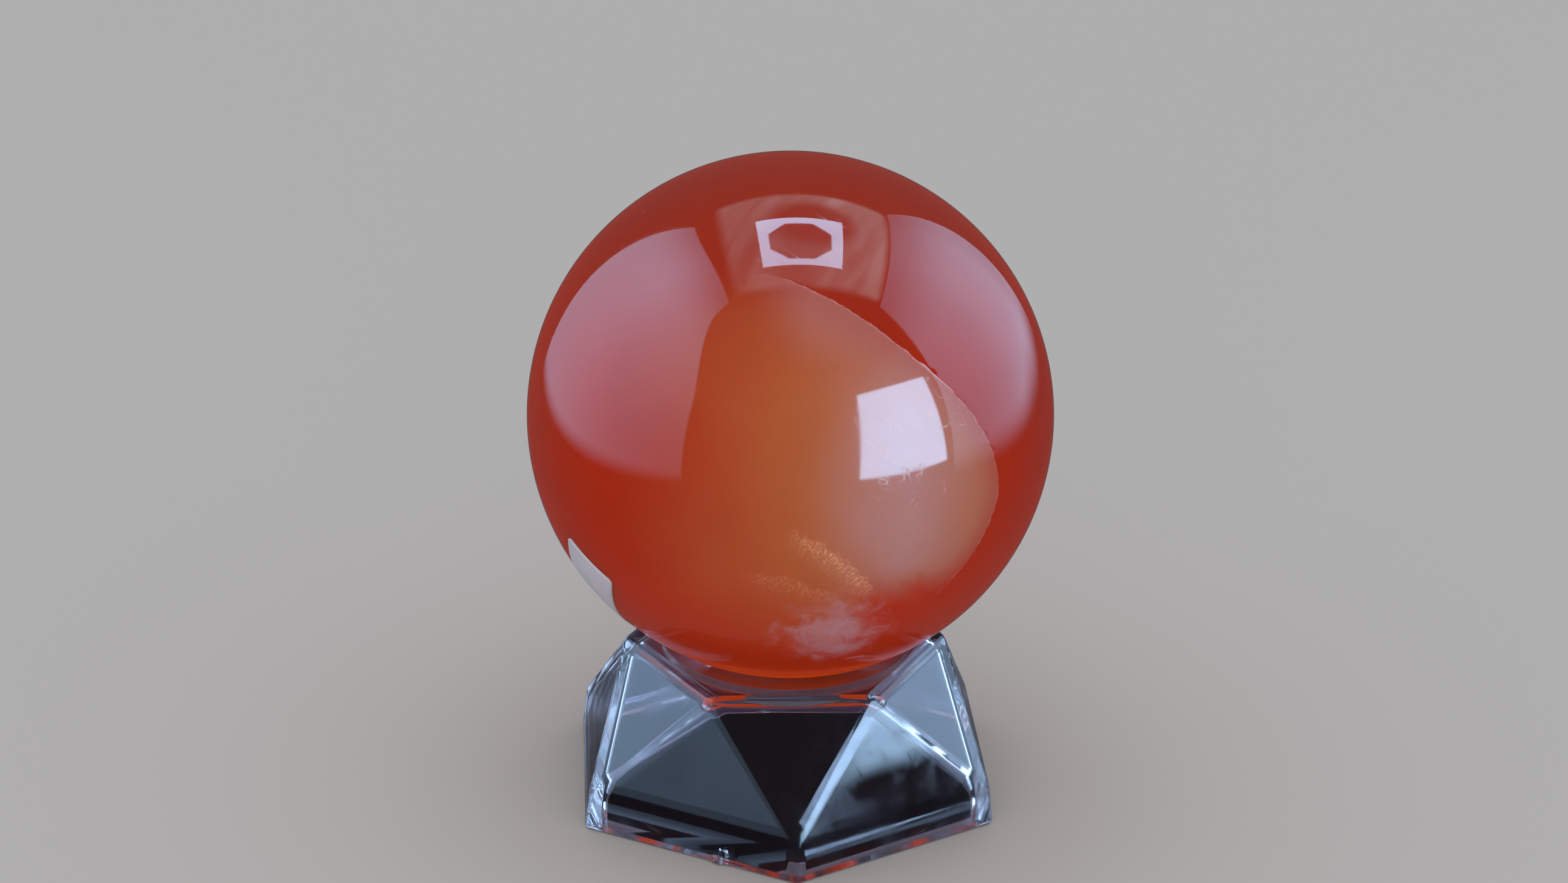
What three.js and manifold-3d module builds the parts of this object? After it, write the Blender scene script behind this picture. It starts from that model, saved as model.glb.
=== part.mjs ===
// A polished stone sphere resting in the dished seat of a clear faceted stand.
// Millimetres, +Z up. The origin is the centre of the stand's footprint, on the surface it stands
// on, and one corner of the stand's hexagon points along -Y, the front.
import * as THREE from "three";
import { ConvexGeometry } from "three/addons/geometries/ConvexGeometry.js";
import { mergeVertices } from "three/addons/utils/BufferGeometryUtils.js";
import Module from "manifold-3d";

// Driving dimensions.
const SPHERE_RADIUS = 25;
const STAND_HEIGHT = 15;
const SKIRT_HEIGHT = 4; // the near-upright band under the facets
const FOOT_RADIUS = 22.7; // centre to corner, at the foot
const SKIRT_RADIUS = 22.2; // centre to corner, where the facets begin
const TOP_RADIUS = 15.5; // centre to corner, around the top
const WALL = 1.8;
const INNER_SKIRT_DROP = 0.36; // how far the hollow's facets begin below the outer ones
const INNER_TOP_INSET = 1.2; // how far the hollow's top corners come in from the outer ones
const SEAT_RIM_RADIUS = 12;
const SEAT_DEPTH = 1.9;
const SEAT_GAP = 0.1; // clearance between the sphere and the bottom of its seat
const GATE = { width: 1.2, height: 0.9, proud: 0.25, along: 0.37 }; // moulding gate mark on the foot
const LABEL = { width: 6.2, length: 13, thickness: 0.12, corner: 0.5, glue: 0.05 };
const LABEL_PLACE = { azimuth: -155, polar: 124, turn: -35 }; // degrees, see placeLabel

const SIDES = 6;
const SPHERE_SEGMENTS = 48; // around
const SPHERE_RINGS = 32; // pole to pole
const SEAT_SEGMENTS = 48;
const SEAT_RINGS = 7;
const LABEL_SEGMENTS = 96; // around the whole sphere
const CORNER_SEGMENTS = 4; // per quarter turn of the label's corners
const SAME_POINT = 1e-4; // vertices closer than this are one
const FRONT = -Math.PI / 2;
const STEP = (2 * Math.PI) / SIDES;
const OVERRUN = 1; // how far a cutting solid reaches past the face it cuts
const SEAT_RADIUS = (SEAT_RIM_RADIUS ** 2 + SEAT_DEPTH ** 2) / (2 * SEAT_DEPTH);
const SEAT_CENTRE_Z = STAND_HEIGHT - SEAT_DEPTH + SEAT_RADIUS;
const SPHERE_CENTRE_Z = STAND_HEIGHT - SEAT_DEPTH + SEAT_GAP + SPHERE_RADIUS;

const materials = {
  stone: new THREE.MeshStandardMaterial({ color: 0xb5401f, roughness: 0.08, metalness: 0 }),
  acrylic: new THREE.MeshStandardMaterial({
    color: 0xe8ecf5,
    roughness: 0.05,
    metalness: 0,
    transparent: true,
    opacity: 0.3,
  }),
  paper: new THREE.MeshStandardMaterial({ color: 0xf2f0ee, roughness: 0.75, metalness: 0 }),
};

const wasm = await Module();
wasm.setup();

function solid(geometry) {
  const bare = geometry.clone();
  bare.deleteAttribute("normal");
  bare.deleteAttribute("uv");
  const merged = mergeVertices(bare, SAME_POINT);
  const mesh = new wasm.Mesh({
    numProp: 3,
    vertProperties: merged.getAttribute("position").array,
    triVerts: new Uint32Array(merged.index.array),
  });
  return new wasm.Manifold(mesh);
}

function geometryOf(manifold) {
  const { vertProperties, triVerts } = manifold.getMesh();
  const geometry = new THREE.BufferGeometry();
  geometry.setAttribute("position", new THREE.BufferAttribute(vertProperties, 3));
  geometry.setIndex(new THREE.BufferAttribute(triVerts, 1));
  geometry.computeVertexNormals();
  return geometry;
}

function hexagon(radius, z, turn = 0) {
  return Array.from({ length: SIDES }, (_, corner) => {
    const angle = FRONT + (corner + turn) * STEP;
    return new THREE.Vector3(radius * Math.cos(angle), radius * Math.sin(angle), z);
  });
}

// The hexagon around the top is turned half a side, so twelve triangles join it to the skirt.
function facetedBlock(foot, skirt, top) {
  return new ConvexGeometry([
    ...hexagon(foot.radius, foot.z),
    ...hexagon(skirt.radius, skirt.z),
    ...hexagon(top.radius, top.z, 0.5),
  ]);
}

function standOutside() {
  return facetedBlock(
    { radius: FOOT_RADIUS, z: 0 },
    { radius: SKIRT_RADIUS, z: SKIRT_HEIGHT },
    { radius: TOP_RADIUS, z: STAND_HEIGHT },
  );
}

// The hollow leaves an even wall: each corner comes in by the wall over the cosine of half a side.
function standInside() {
  const inset = WALL / Math.cos(STEP / 2);
  return facetedBlock(
    { radius: FOOT_RADIUS - inset, z: -OVERRUN },
    { radius: SKIRT_RADIUS - inset, z: SKIRT_HEIGHT - INNER_SKIRT_DROP },
    { radius: TOP_RADIUS - INNER_TOP_INSET, z: STAND_HEIGHT - WALL },
  );
}

// A bowl-shaped plug about the seat's centre, from its lowest point up to the given height.
function seatPlug(radius, topZ) {
  const reach = Math.acos((SEAT_CENTRE_Z - topZ) / radius);
  const profile = [];
  for (let ring = 0; ring <= SEAT_RINGS; ring++) {
    const angle = (reach * ring) / SEAT_RINGS;
    const z = SEAT_CENTRE_Z - radius * Math.cos(angle);
    profile.push(new THREE.Vector2(radius * Math.sin(angle), z));
  }
  profile.push(new THREE.Vector2(0, topZ));
  return new THREE.LatheGeometry(profile, SEAT_SEGMENTS).rotateX(Math.PI / 2);
}

// The small scar where the moulding was cut from its gate, low on the face left of the front.
function gateMark() {
  const corners = hexagon(FOOT_RADIUS, 0);
  const [front, left] = [corners[0], corners[SIDES - 1]];
  const place = front.clone().lerp(left, GATE.along);
  const depth = GATE.proud + WALL / 2;
  const facing = Math.atan2(front.y + left.y, front.x + left.x);
  const mark = new THREE.BoxGeometry(depth, GATE.width, GATE.height);
  mark.translate(GATE.proud - depth / 2, 0, GATE.height / 2);
  return mark.rotateZ(facing).translate(place.x, place.y, 0);
}

function standGeometry() {
  const dome = solid(seatPlug(SEAT_RADIUS + WALL, STAND_HEIGHT));
  const hollow = solid(standInside()).subtract(dome);
  const seat = solid(seatPlug(SEAT_RADIUS, STAND_HEIGHT + OVERRUN));
  const shell = solid(standOutside()).subtract(hollow).subtract(seat);
  return geometryOf(shell.add(solid(gateMark())));
}

function sphereGeometry() {
  const ball = new THREE.SphereGeometry(SPHERE_RADIUS, SPHERE_SEGMENTS, SPHERE_RINGS);
  return ball.rotateX(Math.PI / 2);
}

function roundedRectangle(length, width, corner) {
  const [x, y] = [length / 2, width / 2];
  const shape = new THREE.Shape();
  shape.moveTo(-x + corner, -y);
  shape.lineTo(x - corner, -y).absarc(x - corner, -y + corner, corner, FRONT, 0);
  shape.lineTo(x, y - corner).absarc(x - corner, y - corner, corner, 0, Math.PI / 2);
  shape.lineTo(-x + corner, y).absarc(-x + corner, y - corner, corner, Math.PI / 2, Math.PI);
  shape.lineTo(-x, -y + corner).absarc(-x + corner, -y + corner, corner, Math.PI, 1.5 * Math.PI);
  return shape;
}

// From the top of the sphere, the label turns about its own middle, tips down and swings round.
function placeLabel(geometry) {
  const { azimuth, polar, turn } = LABEL_PLACE;
  return geometry
    .rotateZ(THREE.MathUtils.degToRad(turn))
    .rotateY(THREE.MathUtils.degToRad(polar))
    .rotateZ(THREE.MathUtils.degToRad(azimuth));
}

function labelGeometry() {
  const ball = (radius) => solid(new THREE.SphereGeometry(radius, LABEL_SEGMENTS, LABEL_SEGMENTS / 2));
  const under = SPHERE_RADIUS + LABEL.glue;
  const skin = ball(under + LABEL.thickness).subtract(ball(under));
  const outline = roundedRectangle(LABEL.length, LABEL.width, LABEL.corner);
  const cutter = new THREE.ExtrudeGeometry(outline, {
    depth: SPHERE_RADIUS + OVERRUN,
    bevelEnabled: false,
    curveSegments: CORNER_SEGMENTS,
  });
  return placeLabel(geometryOf(skin.intersect(solid(cutter))));
}

function piece(name, geometry, material) {
  const mesh = new THREE.Mesh(geometry, material);
  mesh.name = name;
  return mesh;
}

const ornament = new THREE.Group();
const stone = new THREE.Group();
stone.position.z = SPHERE_CENTRE_Z;
stone.add(piece("stone_sphere", sphereGeometry(), materials.stone));
stone.add(piece("price_label", labelGeometry(), materials.paper));
ornament.add(piece("clear_stand", standGeometry(), materials.acrylic), stone);

export default ornament;
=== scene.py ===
"""A polished carnelian sphere on a clear moulded stand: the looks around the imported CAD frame."""

from math import atan2, cos, exp, pi, radians, sin, sqrt, tan

import bmesh
import bpy
from mathutils import Matrix, Vector, noise


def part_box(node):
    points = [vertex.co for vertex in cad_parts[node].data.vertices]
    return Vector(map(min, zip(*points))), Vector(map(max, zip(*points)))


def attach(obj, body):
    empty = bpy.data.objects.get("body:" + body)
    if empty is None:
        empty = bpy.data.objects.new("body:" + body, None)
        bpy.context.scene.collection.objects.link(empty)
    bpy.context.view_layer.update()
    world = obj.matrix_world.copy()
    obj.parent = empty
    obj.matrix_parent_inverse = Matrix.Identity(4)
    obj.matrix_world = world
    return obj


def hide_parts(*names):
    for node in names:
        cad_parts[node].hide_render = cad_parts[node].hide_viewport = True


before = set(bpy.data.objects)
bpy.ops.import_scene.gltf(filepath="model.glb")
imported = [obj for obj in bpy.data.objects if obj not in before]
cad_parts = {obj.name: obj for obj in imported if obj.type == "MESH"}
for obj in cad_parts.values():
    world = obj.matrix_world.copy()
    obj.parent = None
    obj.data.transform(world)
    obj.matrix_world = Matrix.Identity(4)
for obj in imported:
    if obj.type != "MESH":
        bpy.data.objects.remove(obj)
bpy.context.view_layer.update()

# The CAD nodes give the sizes: metres throughout.
SPHERE_LOW, SPHERE_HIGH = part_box("stone_sphere")
_, STAND_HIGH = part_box("clear_stand")
CENTRE = Vector((0.0, 0.0, (SPHERE_LOW.z + SPHERE_HIGH.z) / 2))
RADIUS = (SPHERE_HIGH.z - SPHERE_LOW.z) / 2
MM = 0.001
FINE = MM / RADIUS  # a millimetre on the sphere, in radians

# The stand, as moulded: hexagon radii are centre to corner.
STAND_HEIGHT = STAND_HIGH.z
FOOT_RADIUS = STAND_HIGH.y
SKIRT_HEIGHT = 4.0 * MM
SKIRT_RADIUS = 22.2 * MM
TOP_RADIUS = 15.5 * MM
WALL = 1.8 * MM
SEAT_RIM_RADIUS = 12.0 * MM
SEAT_DEPTH = 1.9 * MM
SEAT_RADIUS = (SEAT_RIM_RADIUS**2 + SEAT_DEPTH**2) / (2 * SEAT_DEPTH)
SEAT_CENTRE_Z = STAND_HEIGHT - SEAT_DEPTH + SEAT_RADIUS
LIP_RADIUS = 1.0 * MM
OUTER_FILLET = 0.45 * MM
INNER_FILLET = 0.7 * MM
INNER_SKIRT_DROP = 0.36 * MM  # how far the hollow's facets begin below the outer ones
INNER_TOP_INSET = 1.2 * MM  # how far the hollow's top corners come in from the outer ones
GATE_SIZE = (2.3 * MM, 1.2 * MM, 0.9 * MM)  # through the wall, along it and up
GATE_PROUD = 0.22 * MM
GATE_ROUNDING = 0.12 * MM
GATE_RAISE = 0.1 * MM  # how far its lower face is above the foot
GATE_ALONG = 0.37  # share of the way from the front corner to the next one on the left
SIDES = 6
STEP = 2 * pi / SIDES
OVERRUN = 1.0 * MM  # how far a cutting solid reaches past the face it cuts
RIM_OVERRUN = 0.1 * MM  # how far the seat's cutter goes on past its lip
FILLET_SEGMENTS = 4
GATE_SEGMENTS = 2
SEAT_RINGS = 24
LIP_RINGS = 5
SEAT_COLUMNS = 144

# The paper label, stuck low on the left.
LABEL_LENGTH = 13.0 * MM
LABEL_WIDTH = 6.2 * MM
LABEL_CORNER = 0.5 * MM
LABEL_THICKNESS = 0.12 * MM
LABEL_GLUE = 0.05 * MM
LABEL_PLACE = (radians(-155), radians(124), radians(-35))  # azimuth, polar angle, turn in place
LABEL_CELL = 0.4 * MM
LABEL_LIFT = 0.10 * MM  # how far a corner may rise off the stone
LABEL_RIPPLE = 3.0 * MM
QUARTER_SEGMENTS = 4  # around each of its corners

# The fracture: a healed disc inside the front of the sphere that reaches its surface on one side.
FRACTURE_AXIS = Vector((-0.098, -0.995, 0.0)).normalized()
FRACTURE_UP = Vector((0.0, 0.0, 1.0))
FRACTURE_SIDE = FRACTURE_UP.cross(FRACTURE_AXIS).normalized()
# Where its edge runs: degrees around the axis from straight up, and degrees away from the axis.
FRACTURE_EDGE = (
    (-60, 52.0),
    (-7, 52.3),
    (12, 47.5),
    (30, 44.6),
    (47, 44.4),
    (68, 47.8),
    (89, 51.2),
    (103, 49.2),
    (126, 44.0),
    (180, 46.0),
    (240, 49.0),
)
FRACTURE_MEAN = radians(48.0)
FRACTURE_ENDS = (-12, 132)  # degrees around the axis between which the edge shows
FRACTURE_FADES = (22, 14)  # degrees over which it eases in and out
GROOVE_DEPTH = 0.012 * MM
GROOVE_WIDTH = 0.06 * MM
CHIP_DEPTH = 0.05 * MM
CHIP_WIDTH = 0.16 * MM
CHIP_OFFSET = 0.15 * MM  # from the edge out to the middle of a chip
STONE_COLUMNS = 420  # around the fracture's axis
RING_FIRST = 0.03 * FINE  # the first ring's step out from the edge
RING_GROWTH = 1.22  # how much longer each next step is
RING_LONGEST = 0.44 * FINE
RING_BENT = 0.7  # radians from the mean edge within which rings bend to follow it

# Places in the stone, in sphere radii from its centre.
MILKY_HEART = (0.33, -0.94, 0.10)
COTTON_HEART = (0.115, -0.84, -0.52)
SCUFFED_HEART = (0.48, -0.84, 0.26)
# Each golden fringe is an arc, seen from the front: its centre and radius, its ends in radians
# from straight up, and its strength.
FRINGES = (
    ((-0.35, -0.667), 0.70, 0.50, 0.94, 0.90),
    ((-0.25, -0.90), 0.687, 0.10, 0.46, 0.36),
)

# The stone's colours, and how light passes through it.
DEEP = (0.51, 0.028, 0.002)
DARK = (0.45, 0.021, 0.002)
PAINTED_SHADE_TOP = (0.36, 0.034, 0.014)  # painted shade towards the top, to temper the light from above
PAINTED_LIGHT_LOW = (0.61, 0.042, 0.007)  # painted light towards the bottom, where little light reaches
PAINTED_GLOW = (0.85, 0.085, 0.012)  # painted glow: emission at the bottom standing in for light that passes down through the stone
# a lighter amber zone of the stone, with the glow of light through it painted into its colour
AMBER_AND_PAINTED_GLOW = (0.55, 0.168, 0.057)
HAZE = (0.57, 0.31, 0.32)
COTTON = (0.60, 0.32, 0.37)
GOLD = (0.95, 0.50, 0.30)
# A painted glint along the fracture's edge line.
PAINTED_GLINT = (0.66, 0.30, 0.27)
SCUFF = (0.72, 0.42, 0.40)
DUST = (0.85, 0.80, 0.80)
STONE_IOR = 1.54
LIGHT_REACH = 4.0 * MM
LIGHT_SPREAD = (1.0, 0.28, 0.12)  # red travels furthest
USUAL_GLOSS = 0.5
LIMB_GLOSS = 0.03  # at the sphere's outline

# The acrylic and the paper.
# A faint lavender tint in the clear acrylic: painted cool light.
ACRYLIC_PAINTED_LIGHT_TINT = (0.95, 0.90, 0.99, 1.0)
ACRYLIC_IOR = 1.49
# White paper greyed and tinted lavender: painted shade and painted cool light.
PAPER_PAINTED_SHADE_PALE = (0.66, 0.63, 0.70)
PAPER_PAINTED_SHADE_DARK = (0.56, 0.53, 0.60)
PAPER_FIBRE_PAINTED_SHADE = (0.48, 0.45, 0.50)

# The camera, at the photograph's viewing angle.
CAMERA_AZIMUTH = radians(-4.04)
CAMERA_ELEVATION = radians(22.2)
CAMERA_DISTANCE = 0.3414
CAMERA_PAN = radians(-0.10)
CAMERA_TILT = radians(-0.434)
CAMERA_ROLL = radians(1.24)
CAMERA_LENS = 82.45  # millimetres, on a 36 mm sensor
CAMERA_SENSOR = 36.0
CAMERA_CLIP = (0.01, 50.0)

# The studio: pale as it is seen, and dim in and through polished surfaces.
STUDIO_PALE = (0.72, 0.725, 0.74)
STUDIO_DIM = (0.085, 0.088, 0.10)
FLOOR_PALE = (0.56, 0.55, 0.54)
FLOOR_DIM = (0.028, 0.032, 0.060)
FLOOR_RADIUS = 6.0
FLOOR_SEGMENTS = 96
FLOOR_GAP = 0.01 * MM
BOUNCES = 24
GLOSSY_BOUNCES = 16

# Its lamps. Places across and up a panel run from 0 to 1.
COOL = (0.42, 0.66, 0.95)
MILD = (0.75, 0.95, 1.0)
NEUTRAL = (1.0, 1.0, 1.0)
WINDOW_FACING = (radians(44), radians(9.5))  # azimuth and elevation, seen from the sphere
WINDOW_DISTANCE = 0.18
FILL_FACING = (radians(-5), radians(6))
FILL_DISTANCE = 0.55
PANE_MIDDLE = 0.4625
PANE_SILL = 0.135
OCTAGON_MIDDLE = (0.51, 0.518)
OCTAGON_STRETCH = (1.05, 1.045)
OCTAGON_CORNERS = 0.70
FRAME_MIDDLE = (0.47, 0.415, 0.0)  # where the octagon's frame hangs under the ceiling panel


def linked(name, mesh):
    """A new object in the scene around a mesh."""
    made = bpy.data.objects.new(name, mesh)
    bpy.context.scene.collection.objects.link(made)
    return made


def as_mesh(name, shape):
    """Turns a bmesh into a mesh datablock, with its faces pointing out."""
    bmesh.ops.recalc_face_normals(shape, faces=shape.faces)
    mesh = bpy.data.meshes.new(name)
    shape.to_mesh(mesh)
    shape.free()
    return mesh


def blend_step(low, high, value):
    """0 below low, 1 above high and a smooth rise between them."""
    share = min(max((value - low) / (high - low), 0.0), 1.0)
    return share * share * (3 - 2 * share)


# ---------------------------------------------------------------- camera, floor and lights


def direction(azimuth, elevation):
    """Unit vector: azimuth 0 is the front, -Y, and 90 degrees is +X."""
    flat = cos(elevation)
    return Vector((sin(azimuth) * flat, -cos(azimuth) * flat, sin(elevation)))


def add_camera():
    """Looks at the sphere, then shifts its aim by the pan, the tilt and the roll."""
    data = bpy.data.cameras.new("camera")
    data.sensor_width = CAMERA_SENSOR
    data.lens = CAMERA_LENS
    data.clip_start, data.clip_end = CAMERA_CLIP
    camera = linked("camera", data)
    place = CENTRE + CAMERA_DISTANCE * direction(CAMERA_AZIMUTH, CAMERA_ELEVATION)
    heading = Matrix.Rotation(CAMERA_AZIMUTH - CAMERA_PAN, 4, "Z")
    pitch = Matrix.Rotation(pi / 2 - CAMERA_ELEVATION + CAMERA_TILT, 4, "X")
    roll = Matrix.Rotation(CAMERA_ROLL, 4, "Z")
    camera.matrix_world = Matrix.Translation(place) @ heading @ pitch @ roll
    bpy.context.scene.camera = camera


def add_floor():
    """A plain pale disc, which polished surfaces do not mirror."""
    shape = bmesh.new()
    bmesh.ops.create_circle(shape, cap_ends=True, radius=FLOOR_RADIUS, segments=FLOOR_SEGMENTS)
    floor = linked("floor", as_mesh("floor", shape))
    floor.location.z = -FLOOR_GAP
    floor.data.materials.append(new_material("pale_floor", floor_surface))
    floor.visible_glossy = False


def add_world():
    """A pale studio all round, which shows dimmer in and through polished surfaces."""
    scene = bpy.context.scene
    scene.world = bpy.data.worlds.new("studio")
    scene.world.use_nodes = True
    graph = Graph(scene.world.node_tree)
    polished = graph.most(graph.ray("Is Glossy Ray"), graph.ray("Is Transmission Ray"))
    background = graph.tree.nodes["Background"]
    graph.feed(background.inputs["Color"], graph.mix(polished, STUDIO_PALE, STUDIO_DIM))
    scene.view_settings.view_transform = "Standard"
    scene.cycles.max_bounces = BOUNCES
    scene.cycles.transmission_bounces = BOUNCES
    scene.cycles.glossy_bounces = GLOSSY_BOUNCES


def add_panel(name, middle, back, size, colour, radiance, seen_in_gloss, pattern=None):
    """A rectangular soft light. back points away from the sphere, behind the panel."""
    data = bpy.data.lights.new(name, "AREA")
    data.shape = "RECTANGLE"
    data.size, data.size_y = size
    data.color = colour
    data.energy = pi * radiance * size[0] * size[1]
    light = linked(name, data)
    turn = back.to_track_quat("Z", "Y").to_matrix().to_4x4()
    light.matrix_world = Matrix.Translation(middle) @ turn
    light.visible_camera = False
    light.visible_glossy = light.visible_transmission = seen_in_gloss
    light.visible_diffuse = not seen_in_gloss
    if seen_in_gloss:
        data.use_nodes = True
        graph = Graph(data.node_tree)
        across, up, _ = graph.split(graph.node("NewGeometry").outputs["Parametric"])
        direct = graph.math("LESS_THAN", graph.ray("Diffuse Depth"), 0.5)
        strength = graph.product(direct, pattern(graph, across, up))
        graph.feed(graph.tree.nodes["Emission"].inputs["Strength"], strength)


def side_wall(graph, up, hem, low, top):
    """A lit cloth wall: it fades in over the hem, and its strength goes from low to 1 to top."""
    rise = graph.spread(graph.step(up, 0.0, 0.6), low, 1.0)
    fall = graph.spread(graph.step(up, 0.5, 1.0), 1.0, top)
    return graph.product(graph.step(up, 0.0, hem), rise, fall)


def left_wall(graph, across, up):
    """Drawn in at its upper front corner and its top, and dimmer towards its front and back."""
    back = graph.rest_of(across)
    drawn_in = graph.product(graph.step(up, 0.3, 0.8), 0.165)
    front = graph.step(graph.minus(back, drawn_in), 0.0, 0.02)
    sagging = graph.product(graph.step(back, 0.25, 1.0), 0.14)
    top = graph.step(graph.add(up, sagging), 1.0, 0.985)
    near = graph.spread(graph.step(back, 0.0, 0.6), 0.55, 1.10)
    far = graph.spread(graph.step(back, 0.5, 1.0), 1.0, 0.6)
    return graph.product(side_wall(graph, up, 0.06, 0.45, 0.42), front, top, near, far)


def right_wall(graph, across, up):
    """Brighter towards its middle, and dimmer again at its back, except low down."""
    upper_back = graph.product(graph.step(up, 0.0, 0.28), graph.step(across, 0.42, 0.72))
    corner = graph.spread(upper_back, 1.0, 0.72)
    back = graph.spread(graph.step(across, 0.65, 0.95), 1.0, 0.55)
    along = graph.product(graph.spread(across, 0.66, 1.15), corner, back)
    hem = graph.spread(graph.step(across, 0.45, 0.62), 0.12, 0.175)
    return graph.product(side_wall(graph, up, hem, 0.65, 0.5), along)


def window_pane(graph, across, up):
    """A bright pane, narrower at its top, with soft edges, that shows in reflections only."""
    half_width = graph.spread(up, 0.4245, 0.3175)
    head = graph.spread(across, 0.994, 0.904)
    side = graph.minus(half_width, graph.size_of(graph.minus(across, PANE_MIDDLE)))
    reach = graph.least(graph.minus(head, up), graph.minus(up, PANE_SILL))
    pane = graph.step(graph.least(side, reach), -0.012, 0.018)
    return graph.product(pane, graph.rest_of(graph.ray("Is Transmission Ray")))


def creased_ceiling(graph, across, up):
    """Cloth overhead with a few soft folds, brighter at its left, and dim behind the frame."""
    spot = graph.node("CombineXYZ", {0: across, 1: up}).outputs[0]
    folds = graph.noise(graph.scaled(spot, (6, 1.3, 1), (0, 0, 24)), 1.0, detail=2.0, warp=0.4)
    glow = graph.spread(graph.step(across, 0.75, 0.05), 0.6, 1.2)
    frame_off = graph.distance(spot, FRAME_MIDDLE)
    behind = graph.spread(graph.step(frame_off, 0.15, 0.30), 0.15, 1.0)
    soft = graph.product(edge_fade(graph, across, 0.08), edge_fade(graph, up, 0.08))
    folds = graph.spread(graph.step(folds, 0.40, 0.66), 0.7, 1.3)
    return graph.product(glow, folds, behind, soft)


def edge_fade(graph, place, reach):
    """Fades to 0 at both ends of a 0 to 1 place."""
    inside = graph.least(place, graph.rest_of(place))
    return graph.step(inside, 0.0, reach)


def octagon_hole(graph, across, up):
    """A bright square frame around a dark octagonal opening."""
    off_x, off_y = (
        graph.product(graph.size_of(graph.minus(place, middle)), stretch)
        for place, middle, stretch in zip((across, up), OCTAGON_MIDDLE, OCTAGON_STRETCH)
    )
    corner = graph.product(graph.add(off_x, off_y), OCTAGON_CORNERS)
    reach = graph.most(graph.most(off_x, off_y), corner)
    return graph.spread(graph.step(reach, 0.37, 0.40), 0.02, 1.0)


def add_lights():
    """A small light tent: shines show in and through polished pieces, and fills light the rest."""
    left, right, above = Vector((-1, 0, 0)), Vector((1, 0, 0)), Vector((0, 0, 1))
    front = direction(*WINDOW_FACING)
    window = CENTRE + WINDOW_DISTANCE * front
    near = direction(*FILL_FACING)
    # Name, middle, direction behind, size, colour, radiance and pattern; fills are NEUTRAL.
    shines = (
        ("left", (-0.135, 0.012, 0.160), left, (0.285, 0.315), COOL, 4.2, left_wall),
        ("right", (0.200, 0.089, 0.169), right, (0.363, 0.362), COOL, 4.4, right_wall),
        ("ceiling", (0.030, 0.083, 0.338), above, (0.329, 0.34), MILD, 1.5, creased_ceiling),
        ("overhead", (0.0155, 0.0505, 0.330), above, (0.143, 0.138), COOL, 10.0, octagon_hole),
        ("window", window, front, (0.156, 0.131), COOL, 13.5, window_pane),
    )
    fills = (
        ("above", (0.0, 0.10, 1.60), above, (1.6, 1.6), 0.15),
        ("front", CENTRE + FILL_DISTANCE * near, near, (0.50, 0.30), 1.45),
    )
    for name, middle, back, size, colour, radiance, pattern in shines:
        add_panel("shine_" + name, Vector(middle), back, size, colour, radiance, True, pattern)
    for name, middle, back, size, radiance in fills:
        add_panel("fill_" + name, Vector(middle), back, size, NEUTRAL, radiance, False)


# ---------------------------------------------------------------- node graphs


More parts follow.
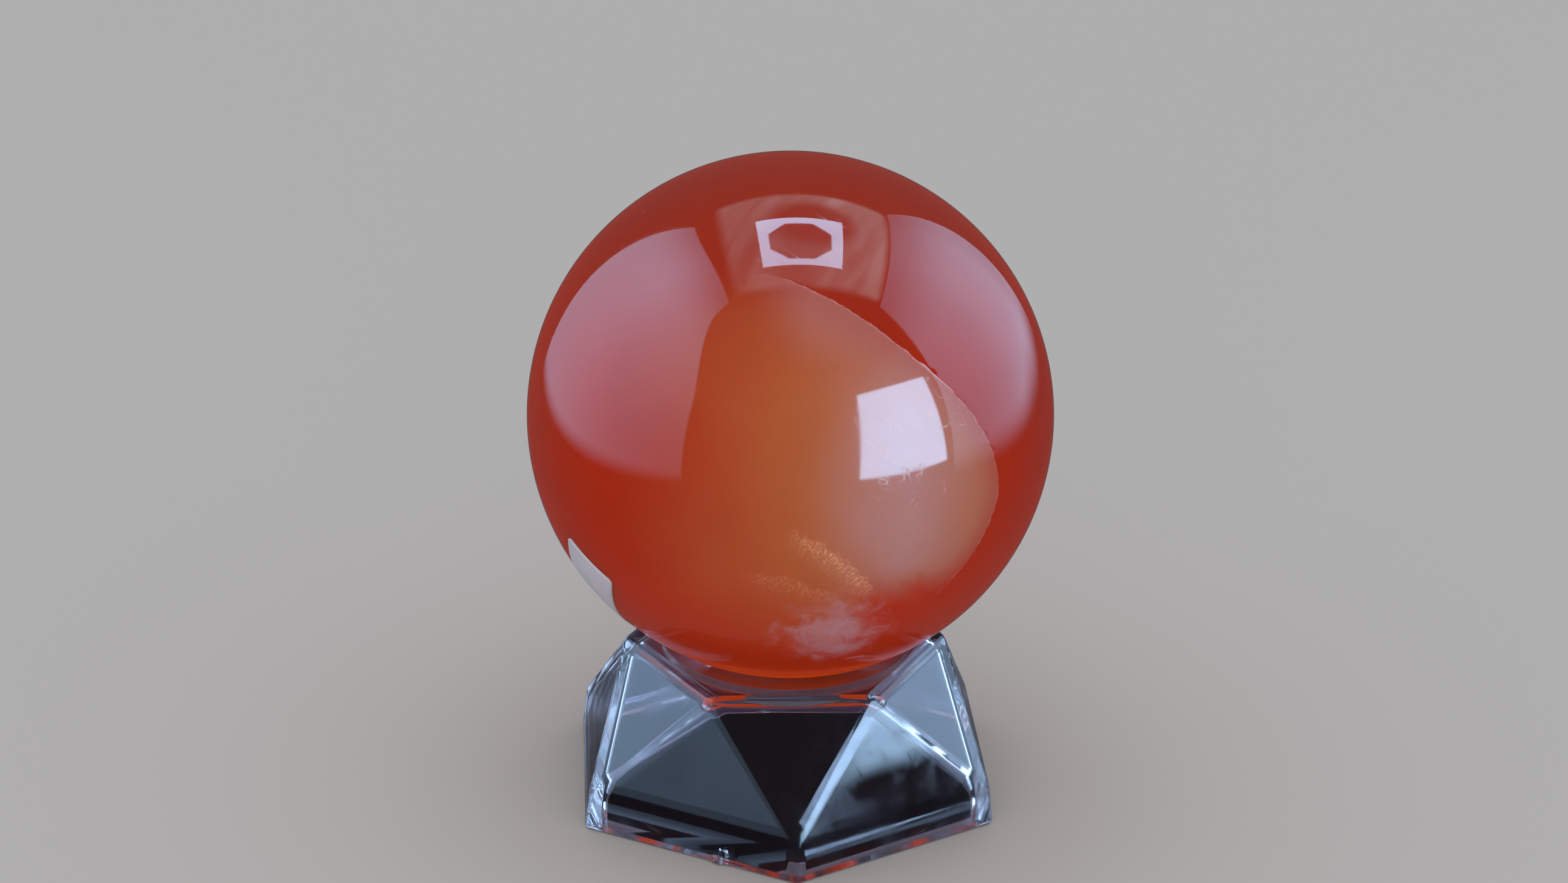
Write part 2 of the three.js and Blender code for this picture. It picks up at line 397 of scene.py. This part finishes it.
class Graph:
    """A node tree, built by short calls that return sockets."""

    def __init__(self, tree):
        self.tree = tree

    def node(self, kind, inputs=None, **settings):
        made = self.tree.nodes.new("ShaderNode" + kind)
        for key, value in settings.items():
            setattr(made, key, value)
        for socket, value in (inputs or {}).items():
            self.feed(made.inputs[socket], value)
        return made

    def feed(self, socket, value):
        if isinstance(value, bpy.types.NodeSocket):
            self.tree.links.new(value, socket)
        else:
            socket.default_value = value

    def math(self, operation, *values):
        made = self.node("Math", operation=operation)
        for socket, value in zip(made.inputs, values):
            self.feed(socket, value)
        return made.outputs[0]

    def add(self, first, second):
        return self.math("ADD", first, second)

    def minus(self, first, second):
        return self.math("SUBTRACT", first, second)

    def rest_of(self, share):
        """1 minus a share."""
        return self.math("SUBTRACT", 1.0, share)

    def size_of(self, value):
        return self.math("ABSOLUTE", value)

    def least(self, first, second):
        return self.math("MINIMUM", first, second)

    def most(self, first, second):
        return self.math("MAXIMUM", first, second)

    def product(self, first, *others):
        for other in others:
            first = self.math("MULTIPLY", first, other)
        return first

    def step(self, value, low, high):
        """0 at low and 1 at high, smooth between; low may be above high."""
        inputs = {"Value": value, "From Min": low, "From Max": high}
        return self.node("MapRange", inputs, interpolation_type="SMOOTHSTEP").outputs[0]

    def spread(self, value, low, high):
        """Spreads a 0 to 1 value between low and high."""
        inputs = {"Value": value, "To Min": low, "To Max": high}
        return self.node("MapRange", inputs).outputs[0]

    def mix(self, share, first, second):
        """Colour between first and second; colours are linear RGB triples or sockets."""
        made = self.node("Mix", data_type="RGBA")
        self.feed(made.inputs[0], share)
        for socket, colour in ((made.inputs[6], first), (made.inputs[7], second)):
            is_socket = isinstance(colour, bpy.types.NodeSocket)
            self.feed(socket, colour if is_socket else (*colour, 1.0))
        return made.outputs[2]

    def scaled(self, vector, scale, turn=(0, 0, 0)):
        """A vector turned, then stretched: a larger scale packs the pattern closer."""
        turned = self.node("VectorRotate", {"Vector": vector}, rotation_type="EULER_XYZ")
        turned.inputs["Rotation"].default_value = [radians(angle) for angle in turn]
        inputs = {0: turned.outputs[0], 1: scale}
        return self.node("VectorMath", inputs, operation="MULTIPLY").outputs[0]

    def noise(self, vector, scale, detail=3.0, rough=0.5, warp=0.0):
        inputs = {
            "Vector": vector,
            "Scale": scale,
            "Detail": detail,
            "Roughness": rough,
            "Distortion": warp,
        }
        return self.node("TexNoise", inputs).outputs[0]

    def place(self):
        """The place in the piece's own coordinates, in sphere radii."""
        local = self.node("TexCoord").outputs["Object"]
        inputs = {0: local, "Scale": 1 / RADIUS}
        return self.node("VectorMath", inputs, operation="SCALE").outputs[0]

    def split(self, vector):
        return self.node("SeparateXYZ", {0: vector}).outputs

    def distance(self, vector, point):
        inputs = {0: vector, 1: point}
        return self.node("VectorMath", inputs, operation="DISTANCE").outputs["Value"]

    def ray(self, kind):
        return self.node("LightPath").outputs[kind]

    def attribute(self, name):
        return self.node("Attribute", attribute_name=name).outputs["Fac"]

    def bump(self, height, strength, distance):
        inputs = {"Height": height, "Strength": strength, "Distance": distance}
        return self.node("Bump", inputs).outputs[0]


def new_material(name, build):
    """A material whose Principled inputs come from build(graph)."""
    material = bpy.data.materials.new(name)
    material.use_nodes = True
    material.node_tree.nodes.clear()
    graph = Graph(material.node_tree)
    surface = graph.node("BsdfPrincipled", build(graph))
    output = graph.node("OutputMaterial")
    graph.feed(output.inputs["Surface"], surface.outputs[0])
    return material


def floor_surface(graph):
    """Plain and pale, and dim where it shows through the clear stand, as the world is."""
    colour = graph.mix(graph.ray("Is Transmission Ray"), FLOOR_PALE, FLOOR_DIM)
    return {"Base Color": colour, "Roughness": 1.0, "Specular IOR Level": 0.0}


# ---------------------------------------------------------------- the stone


def edge_angle(turn):
    """How far from the fracture's axis its edge runs, at a turn around that axis, in radians."""
    place = (turn / pi * 180 - FRACTURE_EDGE[0][0]) % 360 + FRACTURE_EDGE[0][0]
    count = len(FRACTURE_EDGE)
    spot = max(i for i in range(count) if FRACTURE_EDGE[i][0] <= place)
    around = [FRACTURE_EDGE[(spot + offset) % count] for offset in (-1, 0, 1, 2)]
    start, end = around[1][0], around[2][0]
    share = (place - start) / ((end - start) % 360)
    before, first, last, after = [radians(value) for _, value in around]
    curve = (
        2 * first
        + (last - before) * share
        + (2 * before - 5 * first + 4 * last - after) * share**2
        + (3 * first - 3 * last + after - before) * share**3
    ) / 2
    return curve + 0.12 * FINE * jagged(turn, 30) + 0.05 * FINE * jagged(turn, 110)


def jagged(turn, rate):
    """Repeatable noise in -1..1 around the fracture's edge."""
    return noise.noise(Vector((cos(turn) * rate, sin(turn) * rate, 3.7)))


def edge_strength(turn):
    """1 where the fracture's edge shows, easing to 0 past both ends."""
    place = (turn / pi * 180 + 90) % 360 - 90
    low, high = FRACTURE_ENDS
    rise, fall = FRACTURE_FADES
    return blend_step(low, low + rise, place) * (1 - blend_step(high - fall, high, place))


def groove_height(past, turn, strength):
    """Height of the surface at a distance past the fracture's edge: a hairline with small chips."""
    line = exp(-((past / GROOVE_WIDTH) ** 2)) * GROOVE_DEPTH
    bite = max(jagged(turn, 46) - 0.22, 0.0) / 0.3
    chip = exp(-(((past + CHIP_OFFSET) / CHIP_WIDTH) ** 2)) * CHIP_DEPTH * min(bite, 1.0)
    return -(line + chip) * strength


def ring_steps(reach):
    """Distances out from the fracture's edge, each step a little longer than the last."""
    place, step, places = 0.0, RING_FIRST, []
    while place + step < reach:
        place += step
        places.append(place)
        step = min(step * RING_GROWTH, RING_LONGEST)
    return places


def stone_mesh():
    """The sphere as rings around the fracture's axis, finest where the fracture surfaces."""
    inner = [FRACTURE_MEAN - out for out in ring_steps(FRACTURE_MEAN)]
    outer = [FRACTURE_MEAN + out for out in ring_steps(pi - FRACTURE_MEAN)]
    rings = [*reversed(inner), FRACTURE_MEAN, *outer]
    turns = [2 * pi * column / STONE_COLUMNS for column in range(STONE_COLUMNS)]
    edges = [edge_angle(turn) for turn in turns]
    strengths = [edge_strength(turn) for turn in turns]
    points, depths, shows = [FRACTURE_AXIS * RADIUS], [FRACTURE_MEAN * RADIUS / MM], [0.0]
    for ring in rings:
        near = max(1 - abs(ring - FRACTURE_MEAN) / RING_BENT, 0.0)
        pull = near * near * (3 - 2 * near)
        for turn, edge, strength in zip(turns, edges, strengths):
            angle = ring + (edge - FRACTURE_MEAN) * pull
            past = (edge - angle) * RADIUS
            reach = RADIUS + groove_height(past, turn, strength)
            around = FRACTURE_UP * cos(turn) + FRACTURE_SIDE * sin(turn)
            points.append((FRACTURE_AXIS * cos(angle) + around * sin(angle)) * reach)
            depths.append(past / MM)
            shows.append(strength)
    points.append(-FRACTURE_AXIS * RADIUS)
    depths.append((FRACTURE_MEAN - pi) * RADIUS / MM)
    shows.append(0.0)
    mesh = bpy.data.meshes.new("stone")
    mesh.from_pydata(points, [], ring_faces(len(rings), STONE_COLUMNS))
    for name, values in (("fracture_depth", depths), ("fracture_shows", shows)):
        mesh.attributes.new(name, "FLOAT", "POINT").data.foreach_set("value", values)
    return mesh


def ring_faces(rings, columns):
    """Quads between rings and a fan of triangles over each pole; the poles are first and last."""
    last = rings * columns + 1
    faces = []
    for column in range(columns):
        after = (column + 1) % columns
        faces.append((0, 1 + after, 1 + column))
        base = 1 + (rings - 1) * columns
        faces.append((last, base + column, base + after))
    for ring in range(rings - 1):
        base = 1 + ring * columns
        for column in range(columns):
            after = (column + 1) % columns
            faces.append(
                (base + column, base + after, base + columns + after, base + columns + column)
            )
    return faces


def past_circle(graph, x, z, centre, radius):
    """How far a place, seen from the front, lies outside a circle, and how far off its centre."""
    off_x = graph.minus(x, centre[0])
    off_z = graph.minus(z, centre[1])
    square = graph.add(graph.product(off_x, off_x), graph.product(off_z, off_z))
    return graph.minus(graph.math("SQRT", square), radius), off_x, off_z


def stone_surface(graph):
    """Polished carnelian: layers of colour with painted light and shade in them, a painted glow at
    its bottom, and less gloss at its outline.
    """
    place = graph.place()
    x, y, z = graph.split(place)
    front = graph.step(y, 0.1, -0.35)
    depth = graph.attribute("fracture_depth")
    shows = graph.attribute("fracture_shows")
    colour = body_colour(graph, place, z)
    colour = glow_layers(graph, colour, place, x, z, front, depth, shows)
    colour = fibre_layers(graph, colour, place, x, z, front)
    # A painted glint along the fracture's edge.
    colour = painted_edge_glint(graph, colour, place, depth, shows)
    colour = graph.mix(dust(graph, place), colour, DUST)
    scuffed = scuffs(graph, place, depth)
    colour = graph.mix(graph.product(scuffed, 0.35), colour, SCUFF)
    limb = graph.node("LayerWeight").outputs["Facing"]
    rough, normal = polish(graph, place, scuffed)
    return {
        "Base Color": colour,
        "Roughness": rough,
        "Normal": normal,
        "IOR": STONE_IOR,
        "Specular IOR Level": graph.spread(graph.step(limb, 0.86, 0.58), LIMB_GLOSS, USUAL_GLOSS),
        # Painted glow: emission low down, standing in for light passing through the stone.
        "Emission Color": (*PAINTED_GLOW, 1.0),
        "Emission Strength": graph.product(graph.step(z, -0.68, -0.97), 0.45),
        "Subsurface Weight": 1.0,
        "Subsurface Radius": LIGHT_SPREAD,
        "Subsurface Scale": LIGHT_REACH,
    }


def body_colour(graph, place, z):
    """Deep orange-red with soft clouds, with painted shade towards the top and painted light low
    down.
    """
    clouds = graph.noise(place, 1.6, detail=3.0, warp=0.6)
    colour = graph.mix(graph.step(clouds, 0.35, 0.8), DEEP, DARK)
    # Painted light low down, then painted shade towards the top.
    colour = graph.mix(graph.step(z, 0.0, -0.75), colour, PAINTED_LIGHT_LOW)
    return graph.mix(graph.product(graph.step(z, 0.30, 1.0), 0.8), colour, PAINTED_SHADE_TOP)


def glow_layers(graph, colour, place, x, z, front, depth, shows):
    """The amber glow in the middle, a lighter zone partly painted as glow, and the milky haze of
    the fracture to its right.
    """
    drift = graph.spread(graph.noise(place, 2.2, detail=2.0), -0.12, 0.12)
    wisps = graph.noise(graph.scaled(place, (3.0, 3.0, 1.6), (0, 25, 0)), 2.0, detail=5.0, warp=0.4)
    across = graph.add(x, drift)
    inside = graph.step(depth, -0.06, 0.06)
    bottom = graph.step(graph.add(z, graph.spread(wisps, -0.10, 0.10)), -0.44, -0.19)
    beyond = graph.product(graph.step(across, 0.08, 0.28), graph.rest_of(bottom))
    tall = graph.product(graph.step(z, -0.72, -0.10), graph.step(z, 1.05, 0.35))
    open_edge = graph.rest_of(graph.product(graph.step(depth, 0.06, -0.06), shows))
    glow = graph.product(graph.step(across, -0.75, 0.15), graph.step(depth, -2.0, 4.0))
    glow = graph.product(glow, tall, front, open_edge, graph.rest_of(beyond))
    # The amber zone, its colour partly painted glow of light through the stone.
    colour = graph.mix(glow, colour, AMBER_AND_PAINTED_GLOW)
    milk = graph.spread(graph.step(graph.distance(place, MILKY_HEART), 0.65, 0.12), 0.40, 1.0)
    veil = graph.product(graph.step(across, -0.08, 0.42), graph.step(z, 1.0, 0.5), milk)
    rim = graph.product(graph.step(depth, 9.0, 1.0), graph.step(z, 0.0, 0.5), shows, 0.40)
    right = graph.spread(graph.step(x, 0.68, 0.30), 0.35, 1.0)
    veil = graph.product(graph.most(veil, rim), inside, bottom, right)
    return graph.mix(graph.product(veil, front, graph.spread(wisps, 0.8, 1.15)), colour, HAZE)


def fibre_layers(graph, colour, place, x, z, front):
    """Two fringes of fine golden hairs and a cottony patch, low in the front."""
    hairs = graph.noise(graph.scaled(place, (48, 48, 200), (0, 48, 0)), 1.0, rough=0.7, warp=1.0)
    clumps = graph.noise(place, 24.0, detail=5.0, warp=0.5)
    wander = graph.add(graph.spread(hairs, -0.03, 0.03), graph.spread(clumps, -0.04, 0.04))
    fine = graph.spread(graph.step(hairs, 0.50, 0.60), 0.10, 1.0)
    for centre, radius, low, high, strength in FRINGES:
        off, off_x, off_z = past_circle(graph, x, z, centre, radius)
        turn = graph.math("ARCTAN2", off_x, off_z)
        span = graph.product(
            graph.step(turn, low - 0.1, low + 0.08), graph.step(turn, high + 0.14, high)
        )
        band = graph.product(
            graph.step(graph.add(off, wander), 0.004, -0.004), graph.step(off, -0.10, 0.0)
        )
        colour = graph.mix(graph.product(band, span, front, fine, strength), colour, GOLD)
    cloud = graph.noise(place, 11.0, detail=6.0, rough=0.62, warp=0.6)
    patch = graph.add(graph.distance(place, COTTON_HEART), graph.spread(cloud, 0.15, -0.15))
    patch = graph.add(patch, graph.spread(hairs, -0.03, 0.03))
    cotton = graph.product(graph.step(patch, 0.25, 0.04), graph.step(cloud, 0.10, 0.75))
    return graph.mix(graph.product(cotton, 0.85), colour, COTTON)


def painted_edge_glint(graph, colour, place, depth, shows):
    """A painted glint: the bright hairline where the fracture meets the surface."""
    broken = graph.noise(place, 40.0, detail=3.0)
    line = graph.product(graph.step(depth, -0.08, 0.0), graph.step(depth, 0.22, 0.02))
    line = graph.product(line, shows, graph.step(broken, 0.35, 0.65))
    return graph.mix(graph.product(line, 0.6), colour, PAINTED_GLINT)


def dust(graph, place):
    """A few pale specks of dust."""
    cells = graph.node("TexVoronoi", {"Vector": place, "Scale": 9.0})
    near = graph.step(cells.outputs["Distance"], 0.035, 0.020)
    pick, _, _ = graph.split(cells.outputs["Color"])
    return graph.product(near, graph.step(pick, 0.86, 0.90), 0.8)


def scuffs(graph, place, depth):
    """Curly hair-fine scuffs where the fracture's right side meets the surface."""
    curls = graph.noise(place, 7.0, detail=3.0, warp=1.5)
    line = graph.step(graph.size_of(graph.minus(curls, 0.5)), 0.011, 0.002)
    near = graph.step(graph.distance(place, SCUFFED_HEART), 0.46, 0.20)
    inside = graph.step(depth, 0.0, 0.4)
    gaps = graph.step(graph.noise(place, 6.0, detail=2.0), 0.44, 0.60)
    return graph.product(line, near, inside, gaps)


def polish(graph, place, scuffed):
    """A high polish with faint smudges and hair-fine scratches."""
    smudge = graph.noise(place, 3.0, detail=4.0)
    rough = graph.spread(graph.step(smudge, 0.45, 0.8), 0.03, 0.09)
    rough = graph.add(rough, graph.product(scuffed, 0.25))
    scratch = graph.noise(graph.scaled(place, (8, 120, 8), (20, 35, 50)), 1.0, detail=2.0)
    return rough, graph.bump(graph.step(scratch, 0.66, 0.74), 0.05, 0.02 * MM)


def add_stone():
    """The stone, which rides the sphere's body."""
    stone = linked("carnelian_sphere", stone_mesh())
    stone.location = CENTRE
    stone.data.shade_smooth()
    stone.data.materials.append(new_material("carnelian", stone_surface))
    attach(stone, "sphere")
    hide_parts("stone_sphere")


# ---------------------------------------------------------------- the stand


def hexagon(radius, z, turn=0.0):
    """Six corners; turn is in sides, and 0 puts one corner at the front."""
    angles = [(corner + turn) * STEP - pi / 2 for corner in range(SIDES)]
    return [Vector((radius * cos(angle), radius * sin(angle), z)) for angle in angles]


def faceted_block(foot, skirt, top, fillet):
    """The hull of three hexagons, the top one turned half a side, with every edge rounded."""
    shape = bmesh.new()
    for (radius, z), turn in ((foot, 0.0), (skirt, 0.0), (top, 0.5)):
        for corner in hexagon(radius, z, turn):
            shape.verts.new(corner)
    bmesh.ops.convex_hull(shape, input=shape.verts)
    bmesh.ops.dissolve_limit(
        shape, angle_limit=radians(0.5), verts=shape.verts, edges=shape.edges
    )
    bmesh.ops.bevel(
        shape,
        geom=shape.edges[:] + shape.verts[:],
        offset=fillet,
        segments=FILLET_SEGMENTS,
        profile=0.5,
        affect="EDGES",
        clamp_overlap=True,
    )
    return as_mesh("block", shape)


def lathe(profile, segments):
    """Turns a profile of (radius, z) from one point on the axis to another around Z."""
    shape = bmesh.new()
    ends = [shape.verts.new((0.0, 0.0, profile[index][1])) for index in (0, -1)]
    rows = []
    for radius, z in profile[1:-1]:
        angles = [2 * pi * column / segments for column in range(segments)]
        rows.append([shape.verts.new((radius * cos(a), radius * sin(a), z)) for a in angles])
    for column in range(segments):
        after = (column + 1) % segments
        shape.faces.new((ends[0], rows[0][column], rows[0][after]))
        shape.faces.new((ends[1], rows[-1][after], rows[-1][column]))
        for lower, upper in zip(rows, rows[1:]):
            shape.faces.new((lower[column], upper[column], upper[after], lower[after]))
    return as_mesh("lathe", shape)


def seat_profile(radius, lip):
    """A bowl about the seat's centre that opens over the top plane through a rounded lip."""
    rim = sqrt(radius**2 - (SEAT_CENTRE_Z - STAND_HEIGHT) ** 2)
    slope = atan2(rim, SEAT_CENTRE_Z - STAND_HEIGHT)
    tangent = lip * tan(slope / 2)
    reach = slope - tangent / radius
    angles = [reach * ring / SEAT_RINGS for ring in range(SEAT_RINGS + 1)]
    profile = [(radius * sin(a), SEAT_CENTRE_Z - radius * cos(a)) for a in angles]
    for part in range(1, LIP_RINGS):
        tilt = slope * (1 - part / LIP_RINGS)
        profile.append((rim + tangent - lip * sin(tilt), STAND_HEIGHT - lip * (1 - cos(tilt))))
    outside = profile[-1][0] + RIM_OVERRUN
    profile.append((outside, profile[-1][1] + RIM_OVERRUN * tan(tilt)))
    return profile + [(outside, STAND_HEIGHT + OVERRUN), (0.0, STAND_HEIGHT + OVERRUN)]


def gate_mark():
    """The small scar where the moulding was cut from its gate, low on the left of the front."""
    corners = hexagon(FOOT_RADIUS, 0.0)
    place = corners[0].lerp(corners[-1], GATE_ALONG)
    facing = corners[0] + corners[-1]
    shape = bmesh.new()
    bmesh.ops.create_cube(shape, size=1.0)
    bmesh.ops.scale(shape, vec=GATE_SIZE, verts=shape.verts)
    rounding = {"offset": GATE_ROUNDING, "segments": GATE_SEGMENTS, "affect": "EDGES"}
    bmesh.ops.bevel(shape, geom=shape.edges, **rounding)
    middle = (GATE_PROUD - GATE_SIZE[0] / 2, 0.0, GATE_SIZE[2] / 2 + GATE_RAISE)
    bmesh.ops.translate(shape, vec=middle, verts=shape.verts)
    turn = Matrix.Rotation(atan2(facing.y, facing.x), 4, "Z")
    shape.transform(Matrix.Translation(place) @ turn)
    return as_mesh("gate", shape)


def carved(body, *tools):
    """A mesh after booleans: each tool is (mesh, operation)."""
    piece = linked("body", body)
    helpers = [piece]
    for tool, operation in tools:
        helpers.append(linked("tool", tool))
        modifier = piece.modifiers.new("carve", "BOOLEAN")
        modifier.solver = "EXACT"
        modifier.operation = operation
        modifier.object = helpers[-1]
    depsgraph = bpy.context.evaluated_depsgraph_get()
    result = bpy.data.meshes.new_from_object(piece.evaluated_get(depsgraph))
    for helper in helpers:
        bpy.data.objects.remove(helper)
    return result


def stand_mesh():
    """The faceted outside, less the hollow under it and the seat in its top, with the gate scar."""
    inset = WALL / cos(STEP / 2)
    outside = faceted_block(
        (FOOT_RADIUS, 0.0),
        (SKIRT_RADIUS, SKIRT_HEIGHT),
        (TOP_RADIUS, STAND_HEIGHT),
        OUTER_FILLET,
    )
    inside = faceted_block(
        (FOOT_RADIUS - inset, -OVERRUN),
        (SKIRT_RADIUS - inset, SKIRT_HEIGHT - INNER_SKIRT_DROP),
        (TOP_RADIUS - INNER_TOP_INSET, STAND_HEIGHT - WALL),
        INNER_FILLET,
    )
    dome = lathe(seat_profile(SEAT_RADIUS + WALL, LIP_RADIUS), SEAT_COLUMNS)
    seat = lathe(seat_profile(SEAT_RADIUS, LIP_RADIUS), SEAT_COLUMNS)
    hollow = carved(inside, (dome, "DIFFERENCE"))
    cuts = ((hollow, "DIFFERENCE"), (seat, "DIFFERENCE"), (gate_mark(), "UNION"))
    return carved(outside, *cuts)


def acrylic_surface(graph):
    """Clear moulded acrylic with a faint bloom, smudges and scratches, and a faint lavender tint of
    painted cool light.
    """
    place = graph.place()
    smudge = graph.noise(place, 4.0, detail=5.0, rough=0.6, warp=0.5)
    rough = graph.spread(graph.step(smudge, 0.42, 0.72), 0.02, 0.20)
    scratch = graph.noise(graph.scaled(place, (10, 160, 10), (15, 40, 30)), 1.0, detail=2.0)
    waves = graph.noise(place, 5.0, detail=1.0)
    height = graph.add(graph.product(graph.step(scratch, 0.66, 0.73), 0.3), waves)
    return {
        "Base Color": ACRYLIC_PAINTED_LIGHT_TINT,
        "Roughness": rough,
        "Normal": graph.bump(height, 0.15, 0.05 * MM),
        "IOR": ACRYLIC_IOR,
        "Transmission Weight": 1.0,
    }


def add_stand():
    """The stand, its facets shaded flat between rounded edges."""
    stand = linked("acrylic_stand", stand_mesh())
    stand.data.shade_smooth()
    normals = stand.modifiers.new("flat_facets", "WEIGHTED_NORMAL")
    normals.weight = 100
    stand.data.materials.clear()
    stand.data.materials.append(new_material("clear_acrylic", acrylic_surface))
    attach(stand, "stand")
    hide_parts("clear_stand")


# ---------------------------------------------------------------- the label


def rounded_outline(length, width, corner):
    """Points around a rectangle with rounded corners."""
    points = []
    for quarter in range(4):
        side_x = 1 if quarter in (0, 3) else -1
        side_y = 1 if quarter in (0, 1) else -1
        middle = Vector((side_x * (length / 2 - corner), side_y * (width / 2 - corner), 0.0))
        for part in range(QUARTER_SEGMENTS + 1):
            angle = (quarter + part / QUARTER_SEGMENTS) * pi / 2
            points.append(middle + corner * Vector((cos(angle), sin(angle), 0.0)))
    return points


def label_mesh():
    """A thin sheet bent over the sphere, its corners lifting a little where paper can't stretch."""
    shape = bmesh.new()
    outline = rounded_outline(LABEL_LENGTH, LABEL_WIDTH, LABEL_CORNER)
    shape.faces.new([shape.verts.new(point) for point in outline])
    for size, normal in ((LABEL_LENGTH, Vector((1, 0, 0))), (LABEL_WIDTH, Vector((0, 1, 0)))):
        for line in range(1, int(size / LABEL_CELL)):
            geometry = shape.verts[:] + shape.edges[:] + shape.faces[:]
            place = normal * (line * LABEL_CELL - size / 2)
            bmesh.ops.bisect_plane(shape, geom=geometry, plane_co=place, plane_no=normal)
    azimuth, polar, turn = LABEL_PLACE
    swing = Matrix.Rotation(azimuth, 3, "Z") @ Matrix.Rotation(polar, 3, "Y")
    swing = swing @ Matrix.Rotation(turn, 3, "Z")
    for vert in shape.verts:
        x, y = vert.co.x, vert.co.y
        along, across = 2 * x / LABEL_LENGTH, 2 * y / LABEL_WIDTH
        ripple = 0.5 + 0.5 * noise.noise(Vector((x, y, 0.0)) / LABEL_RIPPLE)
        lift = LABEL_LIFT * ripple * (along * across) ** 2
        reach = RADIUS + LABEL_GLUE + lift
        vert.co = swing @ Vector((x, y, sqrt(reach**2 - x * x - y * y)))
    return as_mesh("label", shape)


def paper_surface(graph):
    """Matte label paper with fibres and faint mottling; its white is greyed and tinted lavender as
    painted shade and painted cool light.
    """
    place = graph.place()
    fibres = graph.noise(graph.scaled(place, (40, 90, 40), (0, 30, 60)), 1.0, detail=5.0)
    mottle = graph.noise(place, 6.0, detail=3.0)
    colour = graph.mix(graph.step(mottle, 0.3, 0.8), PAPER_PAINTED_SHADE_PALE, PAPER_PAINTED_SHADE_DARK)
    colour = graph.mix(graph.product(graph.step(fibres, 0.6, 0.8), 0.25), colour, PAPER_FIBRE_PAINTED_SHADE)
    return {
        "Base Color": colour,
        "Roughness": graph.spread(mottle, 0.55, 0.75),
        "Normal": graph.bump(fibres, 0.25, 0.03 * MM),
    }


def add_label():
    """The label, a sheet given its thickness outwards, which rides with the sphere."""
    label = linked("blank_label", label_mesh())
    label.location = CENTRE
    label.data.shade_smooth()
    sheet = label.modifiers.new("sheet", "SOLIDIFY")
    sheet.thickness = LABEL_THICKNESS
    sheet.offset = 1.0
    label.data.materials.append(new_material("label_paper", paper_surface))
    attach(label, "sphere")
    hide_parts("price_label")


add_camera()
add_world()
add_lights()
add_floor()
add_stone()
add_label()
add_stand()
